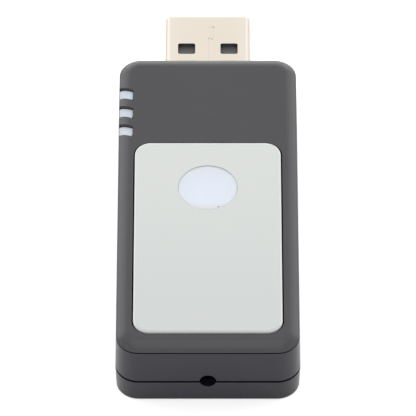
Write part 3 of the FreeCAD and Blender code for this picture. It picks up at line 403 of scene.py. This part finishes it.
@dataclass(frozen=True)
class HousingFinish(ShellFinish):
    """Dark plastic of the upper shell, with painted shade on the walls of its recess and its slots, which
    are darker and left matt.

    Attributes:
        slots: Middle of each slot along the switch, at its inner end.
        slots_end: Place of the slots' inner ends across.
        slots_half: Half of a slot's width along the switch.
        slants: Slope of the slots' near and far walls.
        slots_shade_share: How far the slots' walls take the walls' painted shade and matt look.
        slots_floor: Height over which the slots' walls take it.
        recess_half: Half of the recess's width.
        recess_ends: Near and far end of the recess along the switch.
        rim_start: Height where the painted shade of the recess's walls starts.
        rim_full: Height under which that painted shade is full.
        walls: Painted shade on the walls.
        walls_coat: Weight of the clear coat that is left there.
        walls_roughness: Roughness there.
    """

    slots: tuple[float, ...] = (6.48 * MM, 9.94 * MM, 13.40 * MM)
    slots_end: float = -10.38 * MM
    slots_half: float = 1.0 * MM
    slants: tuple[float, float] = (0.532, 0.596)
    slots_shade_share: float = 0.5
    slots_floor: float = 8.94 * MM
    recess_half: float = 10.45 * MM
    recess_ends: tuple[float, float] = (-30.8 * MM, 4.6 * MM)
    rim_start: float = 10.56 * MM
    rim_full: float = 10.42 * MM
    # Painted shade of the recess's and slots' walls
    walls: Colour = (0.008, 0.006, 0.005)
    walls_coat: float = 0.0
    walls_roughness: float = 0.7

    def inside_slots(self, graph: Graph) -> Socket:
        """1 inside a slot and 0 elsewhere."""
        across, along, height = graph.axes()
        outwards = graph.maths("SUBTRACT", self.slots_end, across)
        near, far = (graph.maths("SUBTRACT", along, graph.product(outwards, slant))
                     for slant in self.slants)
        share = 0.0
        for middle in self.slots:
            slot = graph.product(graph.maths("GREATER_THAN", near, middle - self.slots_half),
                                 graph.maths("LESS_THAN", far, middle + self.slots_half))
            share = graph.maths("ADD", share, slot)
        return graph.product(share, graph.maths("GREATER_THAN", outwards, 0.0),
                             graph.maths("GREATER_THAN", height, self.slots_floor))

    def inside_recess(self, graph: Graph) -> Socket:
        """1 inside the recess, under its rim, and 0 elsewhere."""
        across, along, height = graph.axes()
        beside = graph.maths("LESS_THAN", graph.maths("ABSOLUTE", across), self.recess_half)
        return graph.product(graph.between(along, *self.recess_ends), beside,
                             graph.smooth(height, self.rim_start, self.rim_full))

    def shade_share(self, graph: Graph) -> Socket:
        """Share of the walls' painted shade and matt look at a place."""
        return graph.maths("MULTIPLY_ADD", self.inside_slots(graph), self.slots_shade_share,
                           self.inside_recess(graph))

    def paint(self, graph: Graph) -> Socket:
        """Base colour, with painted shade on the walls of the recess and the slots."""
        # Painted shade on the walls of the recess and the slots
        return graph.blend(self.shade_share(graph), super().paint(graph), self.walls)

    def finish_shader(self, graph: Graph, shader: bpy.types.Node) -> None:
        """Take the gloss off the walls of the recess and the slots."""
        share = self.shade_share(graph)
        rough = shader.inputs["Roughness"].links[0].from_socket
        for name, usual, own in (("Roughness", rough, self.walls_roughness),
                                 ("Coat Weight", self.coat, self.walls_coat)):
            eased = graph.node("MapRange", {"Value": share, "To Min": usual, "To Max": own})
            graph.feed(shader.inputs[name], eased.outputs[0])


@dataclass(frozen=True)
class KeyFinish(Finish):
    """Light plastic of the key, with a painted highlight round its rim, painted shade towards its near end,
    and painted shade in the gap under the rim.

    Attributes:
        top: Height of the key's flat top.
        rim_start: How far under the top the painted rim highlight starts.
        rim_full: How far under the top the painted rim highlight is full.
        rim: Tone of the painted rim highlight.
        ends: Its near and far end along the switch.
        near: Tone at its near end, a painted shade.
        gap_shade_start: How far under the top the painted shade of the gap starts.
        gap_shade_full: How far under the top that painted shade covers all.
        gap_shade: Tone of the painted shade in the gap.
    """

    top: float = 10.85 * MM
    rim_start: float = 0.01 * MM
    rim_full: float = 0.07 * MM
    # Painted rim highlight
    rim: Colour = (0.90, 0.92, 0.91)
    ends: tuple[float, float] = (-30.4 * MM, 4.2 * MM)
    # Painted shade at the near end
    near: Colour = (0.665, 0.69, 0.675)
    gap_shade_start: float = 0.3 * MM
    gap_shade_full: float = 0.7 * MM
    gap_shade: Colour = (0.13, 0.115, 0.10)

    def paint(self, graph: Graph) -> Socket:
        """Base colour with painted shade along the key, the painted rim highlight and the painted shade of
        the gap under it.
        """
        _, along, height = graph.axes()
        near_end, far_end = self.ends
        # Painted shade towards the near end
        tone = graph.blend(graph.smooth(along, far_end, near_end), super().paint(graph), self.near)
        below = graph.maths("SUBTRACT", self.top, height)
        # Painted highlight round the rim
        tone = graph.blend(graph.smooth(below, self.rim_start, self.rim_full), tone, self.rim)
        # Painted shade in the gap under the rim
        return graph.blend(graph.smooth(below, self.gap_shade_start, self.gap_shade_full), tone, self.gap_shade)


@dataclass(frozen=True)
class SleeveFinish(Finish):
    """Nickelled sleeve of the plug, with painted reflections and shade towards its sides, its seam, its
    stains, and painted shade on its windows' cut walls.

    Attributes:
        painted_light_bands: Painted reflections and shade towards the folded sides: the broad face beside
            the bend, the bend and the side
        itself, each with the distances from the middle line where it starts and is full.
        seam: Tone along the seam.
        seam_width: Half of the width of the seam's trace.
        seam_runs: Each straight run of the seam: its place across, and its two ends along.
        stains: Middle of each stain, across and along.
        stain_radius: Radius of a stain.
        stain_tone: Colour of a stain.
        windows: Distances from the middle line between which the windows lie.
        windows_ends: Places along the switch between which they lie.
        centre_height: Height of the sleeve's middle.
        face: Distance of the broad faces from that middle.
        cut_depth: Depth under a face where the painted shade on the windows' cut walls is full.
        cut: Painted shade on the windows' cut walls.
    """

    painted_light_bands: tuple[tuple[float, float, Colour], ...] = ((3.0 * MM, 5.6 * MM, (0.85, 0.78, 0.69)),
                                                      (5.45 * MM, 5.65 * MM, (0.75, 0.68, 0.59)),
                                                      (5.8 * MM, 5.92 * MM, (1.0, 0.97, 0.92)))
    seam: Colour = (0.76, 0.69, 0.60)
    seam_width: float = 0.05 * MM
    seam_runs: tuple[tuple[float, float, float], ...] = ((0.12 * MM, 21.0 * MM, 28.9 * MM),
                                                         (0.78 * MM, 28.9 * MM, 31.1 * MM))
    stains: tuple[tuple[float, float], ...] = ((0.16 * MM, 28.85 * MM), (0.62 * MM, 28.7 * MM),
                                               (0.78 * MM, 31.1 * MM))
    stain_radius: float = 0.2 * MM
    stain_tone: Colour = (0.60, 0.49, 0.40)
    windows: tuple[float, float] = (1.5 * MM, 4.6 * MM)
    windows_ends: tuple[float, float] = (25.0 * MM, 28.6 * MM)
    centre_height: float = 3.61 * MM
    face: float = 2.24 * MM
    cut_depth: float = 0.03 * MM
    # Painted shade on the windows' cut walls
    cut: Colour = (0.22, 0.21, 0.20)

    def cut_shade_share(self, graph: Graph) -> Socket:
        """1 on the windows' cut walls, where shade is painted, under the faces, and 0 elsewhere."""
        across, along, height = graph.axes()
        outwards = graph.maths("ABSOLUTE", across)
        off_centre = graph.maths("ABSOLUTE", graph.maths("SUBTRACT", height, self.centre_height))
        return graph.product(graph.smooth(off_centre, self.face, self.face - self.cut_depth),
                             graph.between(outwards, *self.windows),
                             graph.between(along, *self.windows_ends))

    def paint(self, graph: Graph) -> Socket:
        """Base colour with painted reflections and shade towards the sides, the seam, the stains and painted
        shade on the windows' walls.
        """
        across, along, _ = graph.axes()
        outwards = graph.maths("ABSOLUTE", across)
        tone = super().paint(graph)
        # Painted reflections and shade towards the folded sides
        for start, full, band in self.painted_light_bands:
            tone = graph.blend(graph.smooth(outwards, start, full), tone, band)
        for place, start, end in self.seam_runs:
            offset = graph.maths("ABSOLUTE", graph.maths("SUBTRACT", across, place))
            traced = graph.product(graph.smooth(offset, self.seam_width, 0.0),
                                   graph.between(along, start, end))
            tone = graph.blend(traced, tone, self.seam)
        for place in self.stains:
            inside = graph.smooth(graph.distance(across, along, place), self.stain_radius, 0.0)
            tone = graph.blend(inside, tone, self.stain_tone)
        # Painted shade on the windows' cut walls
        return graph.blend(self.cut_shade_share(graph), tone, self.cut)


SHELL_PLASTIC = {"slot": Slot.DARK_PLASTIC, "colour": (0.018, 0.0165, 0.022),
                 "other": (0.021, 0.0195, 0.025), "roughness": 0.26, "coat": 0.6,
                 "coat_roughness": 0.18, "ior": 1.55}
# Paler milky look on the bars' softened edges: a painted highlight
BAR_EDGE_HIGHLIGHT = MilkyFinish(Slot.MILKY_LENS, (0.97, 0.98, 1.0), (0.96, 0.97, 1.0), 0.2,
                       name="bar_edge_highlight_finish")


def finishes() -> dict[Slot, Finish]:
    """Every usual finish, by slot."""
    listed = [
        ShellFinish(**SHELL_PLASTIC),
        Finish(Slot.LIGHT_PLASTIC, (0.67, 0.69, 0.67), (0.685, 0.705, 0.69), 0.40),
        MilkyFinish(Slot.MILKY_LENS, (0.67, 0.73, 0.81), (0.69, 0.74, 0.82), 0.25),
        SleeveFinish(Slot.NICKEL, (0.82, 0.745, 0.648), (0.835, 0.76, 0.663), 0.24, metallic=1.0,
                     drift=140.0, relief=0.000001, variation=0.03, edge=(0.95, 0.92, 0.88)),
        Finish(Slot.PLUG_PLASTIC, (0.173, 0.171, 0.173), (0.188, 0.186, 0.188), 0.5),
        Finish(Slot.GOLD_CONTACT, (0.83, 0.64, 0.28), (0.86, 0.69, 0.34), 0.25, metallic=1.0),
        Finish(Slot.BOARD, (0.008, 0.022, 0.014), (0.012, 0.03, 0.02), 0.3, coat=0.4),
        Finish(Slot.TINNED_STEEL, (0.66, 0.66, 0.64), (0.60, 0.60, 0.59), 0.3, metallic=1.0),
        Finish(Slot.BLACK_PART, (0.018, 0.018, 0.02), (0.025, 0.025, 0.027), 0.5),
        Finish(Slot.GREY_PART, (0.04, 0.04, 0.043), (0.046, 0.046, 0.05), 0.45),
        Finish(Slot.LAMP, (0.85, 0.86, 0.80), (0.80, 0.80, 0.70), 0.2),
        Finish(Slot.CERAMIC_PART, (0.45, 0.33, 0.22), (0.50, 0.38, 0.27), 0.45),
        Finish(Slot.TANTALUM_PART, (0.70, 0.45, 0.10), (0.74, 0.50, 0.14), 0.35),
    ]
    return {finish.slot: finish for finish in listed}


def own_finishes() -> dict[str, Finish]:
    """Finish of each node whose slot is finished in a way of its own there."""
    return {
        "key_lens": LensFinish(Slot.MILKY_LENS, (0.78, 0.84, 0.96), (0.79, 0.85, 0.96), 0.25,
                               name="lens_finish"),
        "key_panel": KeyFinish(Slot.LIGHT_PLASTIC, (0.71, 0.735, 0.715), (0.72, 0.745, 0.725), 0.40,
                               name="key_finish"),
        "upper_shell": HousingFinish(**SHELL_PLASTIC, name="housing_finish"),
    }


@dataclass
class CadPieces:
    """The CAD nodes that stay in view, each dressed with the finish of its slot.

    Attributes:
        record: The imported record.
        materials: Usual material of each slot.
        own: Material of each node whose slot is finished in a way of its own there.
    """

    record: dict
    materials: dict[Slot, bpy.types.Material]
    own: dict[str, bpy.types.Material]

    def dress(self) -> None:
        """Give every node the finish that the record names for it."""
        for row in self.record["subparts"]:
            node = frame["nodes"][row["node"]]
            node.data.materials.clear()
            usual = self.materials[Slot(row["material_slot"])]
            node.data.materials.append(self.own.get(row["node"], usual))
            log.info("dressed %s as %s", row["node"], row["material_slot"])


@dataclass
class LightBars:
    """The side light pipe, its prongs filled out in their slots and its moulded edges softened.

    Attributes:
        node: CAD node that it stands for.
        body: Body that it rides on.
        slot: Its slot; not used.
        joined: Distance under which points of the CAD mesh are one.
        flat: Angle under which neighbouring faces are one, in degrees.
        aligned: Least cosine between a side's direction and a face that belongs to it.
        far_side: Direction that a prong's far side faces.
        far_fill: How much further the far sides lie.
        inner_end: Place of the prongs' inner ends across.
        end_reach: Distance from there under which a face belongs to an inner end.
        end_aligned: Least cosine between such a face and the way across.
        inner_fill: How much further the inner ends lie.
        lift_from: Place across from where the tops rise towards the inner ends.
        lift: How much higher the tops' inner ends lie.
        near_side: Direction that a prong's near side faces.
        near_cut: Cut of the corner between the near side and the inner end.
        top: Height over which a point is on the prongs' tops.
        edge: Width of a softened edge.
        steps: Segments across it.
        sharp: Angle from which an edge is softened, in degrees.
    """

    node: str = "side_light_pipe"
    body: str = "housing"
    slot: Slot = Slot.MILKY_LENS
    joined: float = 0.0005 * MM
    flat: float = 0.5
    aligned: float = 0.98
    far_side: Vector = Vector((0.512, 0.859, 0.0))
    far_fill: float = 0.055 * MM
    inner_end: float = -10.46 * MM
    end_reach: float = 0.01 * MM
    end_aligned: float = 0.99
    inner_fill: float = 0.05 * MM
    lift_from: float = -11.1 * MM
    lift: float = 0.09 * MM
    near_side: Vector = Vector((-0.47, -0.883, 0.0))
    near_cut: float = 0.6 * MM
    top: float = 9.95 * MM
    edge: float = 0.12 * MM
    steps: int = 3
    sharp: float = 35.0

    def build(self, material: bpy.types.Material, highlight_material: bpy.types.Material) -> bpy.types.Object:
        """Make the piece in the place of its CAD node.

        Args:
            material: What it is made of.
            highlight_material: Paler look along the softened edges, a painted highlight there.

        Returns:
            The new piece.
        """
        bpy.ops.object.select_all(action="DESELECT")
        piece = bpy.data.objects.new("light_bars", frame["nodes"][self.node].data.copy())
        bpy.context.collection.objects.link(piece)
        piece.select_set(True)
        bpy.context.view_layer.objects.active = piece
        piece.data.materials.clear()
        for look in (material, highlight_material):
            piece.data.materials.append(look)
        self.fill_out(piece)
        soften = piece.modifiers.new("soften", "BEVEL")
        soften.width = self.edge
        soften.segments = self.steps
        soften.limit_method = "ANGLE"
        soften.angle_limit = math.radians(self.sharp)
        # The softened edges take the painted highlight
        soften.material = piece.data.materials.find(highlight_material.name)
        bpy.ops.object.modifier_apply(modifier=soften.name)
        bpy.ops.object.shade_smooth_by_angle(angle=math.radians(self.sharp))
        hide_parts(self.node)
        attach(piece, self.body)
        log.info("built %s with %d faces", piece.name, len(piece.data.polygons))
        return piece

    def fill_out(self, piece: bpy.types.Object) -> None:
        """Join the mesh, move the prongs' far sides and inner ends out and raise their tops' ends.

        Args:
            piece: The piece, selected and active.
        """
        bpy.ops.object.mode_set(mode="EDIT")
        bpy.ops.mesh.select_all(action="SELECT")
        bpy.ops.mesh.remove_doubles(threshold=self.joined)
        bpy.ops.mesh.dissolve_limited(angle_limit=math.radians(self.flat))
        bpy.ops.mesh.select_mode(type="FACE")
        mesh = bmesh.from_edit_mesh(piece.data)
        for face in mesh.faces:
            face.select_set(face.normal.dot(self.far_side) > self.aligned)
        bpy.ops.transform.translate(value=(0.0, self.far_fill, 0.0))
        for face in mesh.faces:
            at_end = abs(face.calc_center_median().x - self.inner_end) < self.end_reach
            face.select_set(face.normal.x > self.end_aligned and at_end)
        bpy.ops.transform.translate(value=(self.inner_fill, 0.0, 0.0))
        run = self.inner_end + self.inner_fill - self.lift_from
        for vertex in mesh.verts:
            past = vertex.co.x - self.lift_from
            if past > 0.0 and vertex.co.z > self.top:
                vertex.co.z += self.lift * past / run
        self.cut_corners(mesh)
        bpy.ops.object.mode_set(mode="OBJECT")

    def cut_corners(self, mesh: bmesh.types.BMesh) -> None:
        """Cut the upright corners between the prongs' near sides and inner ends.

        Args:
            mesh: The mesh in edit mode.
        """
        bpy.ops.mesh.select_mode(type="EDGE")
        bpy.ops.mesh.select_all(action="DESELECT")
        for edge in mesh.edges:
            normals = [face.normal for face in edge.link_faces]
            at_end = any(normal.x > self.aligned for normal in normals)
            beside = any(normal.dot(self.near_side) > self.aligned for normal in normals)
            edge.select_set(at_end and beside)
        bpy.ops.mesh.bevel(offset=self.near_cut, segments=1, affect="EDGES")


@dataclass(frozen=True)
class Panel:
    """A flat lamp.

    Attributes:
        name: Its name.
        place: Its middle.
        width: Its width.
        height: Its height.
        radiance: Its light, where one is as bright as the white surroundings.
        diffuse: Whether it lights matt surfaces, and not glossy ones.
    """

    name: str
    place: tuple[float, float, float]
    width: float
    height: float
    radiance: float
    diffuse: bool = False


PANELS = [
    Panel("left_panel", (-0.89, 0.99, 0.43), 1.0, 1.0, 0.38),
    Panel("right_panel", (0.89, 0.99, 0.43), 1.0, 1.0, 0.28),
    Panel("left_light", (-1.1, 0.45, 0.42), 0.9, 0.9, 2.6, True),
    Panel("right_light", (1.1, 0.45, 0.42), 0.9, 0.9, 2.4, True),
    Panel("back_panel", (0.0, 1.30, 0.35), 1.2, 0.7, 0.45),
    Panel("back_light", (0.0, 1.30, 0.55), 1.4, 0.7, 2.2, True),
    Panel("top_panel", (0.0, -0.15, 1.1), 0.8, 1.1, 0.25),
]


@dataclass
class Studio:
    """Floor, light and camera.

    Attributes:
        target: What the camera looks at.
        distance: From the camera to the target.
        elevation: Of the camera over the floor, in degrees.
        focal: Focal length in millimetres.
        sensor: Sensor width in millimetres.
        shift: Sideways shift, as a share of the frame.
        clip_start: Nearest distance that the camera sees.
        floor_side: Side of the floor.
        floor_seen: Tone of the floor where the camera sees it.
        floor_tone: Its tone as a source of soft light.
        floor_gloss_tone: Its tone in glossy surfaces.
        floor_lift: Light of its own that the camera sees.
        floor_mirrored: Light of its own that glossy surfaces show.
        fill: Light of the white surroundings on matt surfaces.
        ceiling_side: Side of the soft ceiling.
        ceiling_height: Its height.
        ceiling_radiance: Its light.
    """

    target: Vector = Vector((0.0, -0.002874, 0.00514))
    distance: float = 0.7828
    elevation: float = 48.045
    focal: float = 489.3
    sensor: float = 36.0
    shift: float = 0.0004
    clip_start: float = 0.01
    floor_side: float = 6.0
    floor_seen: float = 0.9
    floor_tone: float = 0.3
    floor_gloss_tone: float = 0.72
    floor_lift: float = 0.55
    floor_mirrored: float = 0.12
    fill: float = 0.35
    ceiling_side: float = 2.4
    ceiling_height: float = 1.0
    ceiling_radiance: float = 0.45

    def build(self) -> None:
        """Make the whole studio."""
        self.build_floor()
        self.build_world()
        self.build_lamps()
        self.build_camera()

    def build_floor(self) -> None:
        """Plain pale floor that the camera and mirrors see as white, with the object's shadow."""
        bpy.ops.object.select_all(action="DESELECT")
        bpy.ops.mesh.primitive_plane_add(size=self.floor_side, location=(0.0, 0.0, 0.0))
        floor = bpy.context.object
        floor.name = "floor"
        material = bpy.data.materials.new("pale_floor")
        material.use_nodes = True
        graph = Graph(material.node_tree)
        path = graph.node("LightPath")
        direct = path.outputs["Is Camera Ray"]
        mirrored = graph.maths("MAXIMUM", path.outputs["Is Glossy Ray"], path.outputs["Is Transmission Ray"])
        tone = graph.blend(direct, (self.floor_tone,) * 3, (self.floor_seen,) * 3)
        tone = graph.blend(mirrored, tone, (self.floor_gloss_tone,) * 3)
        matt = graph.node("BsdfDiffuse", {"Color": tone})
        strength = graph.maths("MULTIPLY_ADD", direct, self.floor_lift,
                               graph.maths("MULTIPLY", mirrored, self.floor_mirrored))
        lift = graph.node("Emission", {"Color": WHITE, "Strength": strength})
        lit = graph.node("AddShader", {0: matt.outputs[0], 1: lift.outputs[0]})
        out = graph.node("OutputMaterial")
        graph.feed(out.inputs["Surface"], lit.outputs[0])
        floor.data.materials.append(material)

    def build_world(self) -> None:
        """White surroundings, weaker as light on matt surfaces than as seen."""
        world = bpy.data.worlds.new("white_room")
        world.use_nodes = True
        graph = Graph(world.node_tree)
        path = graph.node("LightPath")
        seen = graph.maths("MAXIMUM", path.outputs["Is Camera Ray"], path.outputs["Is Glossy Ray"])
        seen = graph.maths("MAXIMUM", seen, path.outputs["Is Transmission Ray"])
        strength = graph.maths("MULTIPLY_ADD", seen, 1.0 - self.fill, self.fill)
        back = graph.node("Background", {"Color": WHITE, "Strength": strength})
        out = graph.node("OutputWorld")
        graph.feed(out.inputs["Surface"], back.outputs[0])
        bpy.context.scene.world = world

    def build_lamps(self) -> None:
        """One wide soft ceiling, and panels that each light either glossy or matt surfaces."""
        ceiling = Panel("soft_ceiling", (0.0, 0.0, self.ceiling_height), self.ceiling_side,
                        self.ceiling_side, self.ceiling_radiance, True)
        for panel in [ceiling, *PANELS]:
            self.build_panel(panel)

    def build_panel(self, panel: Panel) -> None:
        """Make one flat lamp that faces the object.

        Args:
            panel: Its place, size and light.
        """
        place = Vector(panel.place)
        bpy.ops.object.light_add(type="AREA", location=place)
        lamp = bpy.context.object
        lamp.name = panel.name
        lamp.data.shape = "RECTANGLE"
        lamp.data.size = panel.width
        lamp.data.size_y = panel.height
        lamp.data.energy = panel.radiance * math.pi * panel.width * panel.height
        lamp.rotation_euler = (self.target - place).to_track_quat("-Z", "Y").to_euler()
        lamp.visible_glossy = not panel.diffuse
        lamp.visible_diffuse = panel.diffuse

    def build_camera(self) -> None:
        """Camera at the photograph's place."""
        angle = math.radians(self.elevation)
        offset = Vector((0.0, -math.cos(angle), math.sin(angle))) * self.distance
        bpy.ops.object.camera_add(location=self.target + offset)
        camera = bpy.context.object
        camera.name = "camera"
        camera.rotation_euler = (-offset).to_track_quat("-Z", "Y").to_euler()
        camera.data.sensor_width = self.sensor
        camera.data.lens = self.focal
        camera.data.shift_x = self.shift
        camera.data.clip_start = self.clip_start
        bpy.context.scene.camera = camera
        bpy.context.scene.view_settings.view_transform = "Standard"


def main() -> None:
    """Build the looks in order."""
    logging.basicConfig(level=logging.INFO, format="%(message)s")
    materials = {slot: finish.build() for slot, finish in finishes().items()}
    own = {name: finish.build() for name, finish in own_finishes().items()}
    CadPieces(frame["record"], materials, own).dress()
    LightBars().build(materials[Slot.MILKY_LENS], BAR_EDGE_HIGHLIGHT.build())
    Studio().build()


if __name__ == "__main__":
    main()
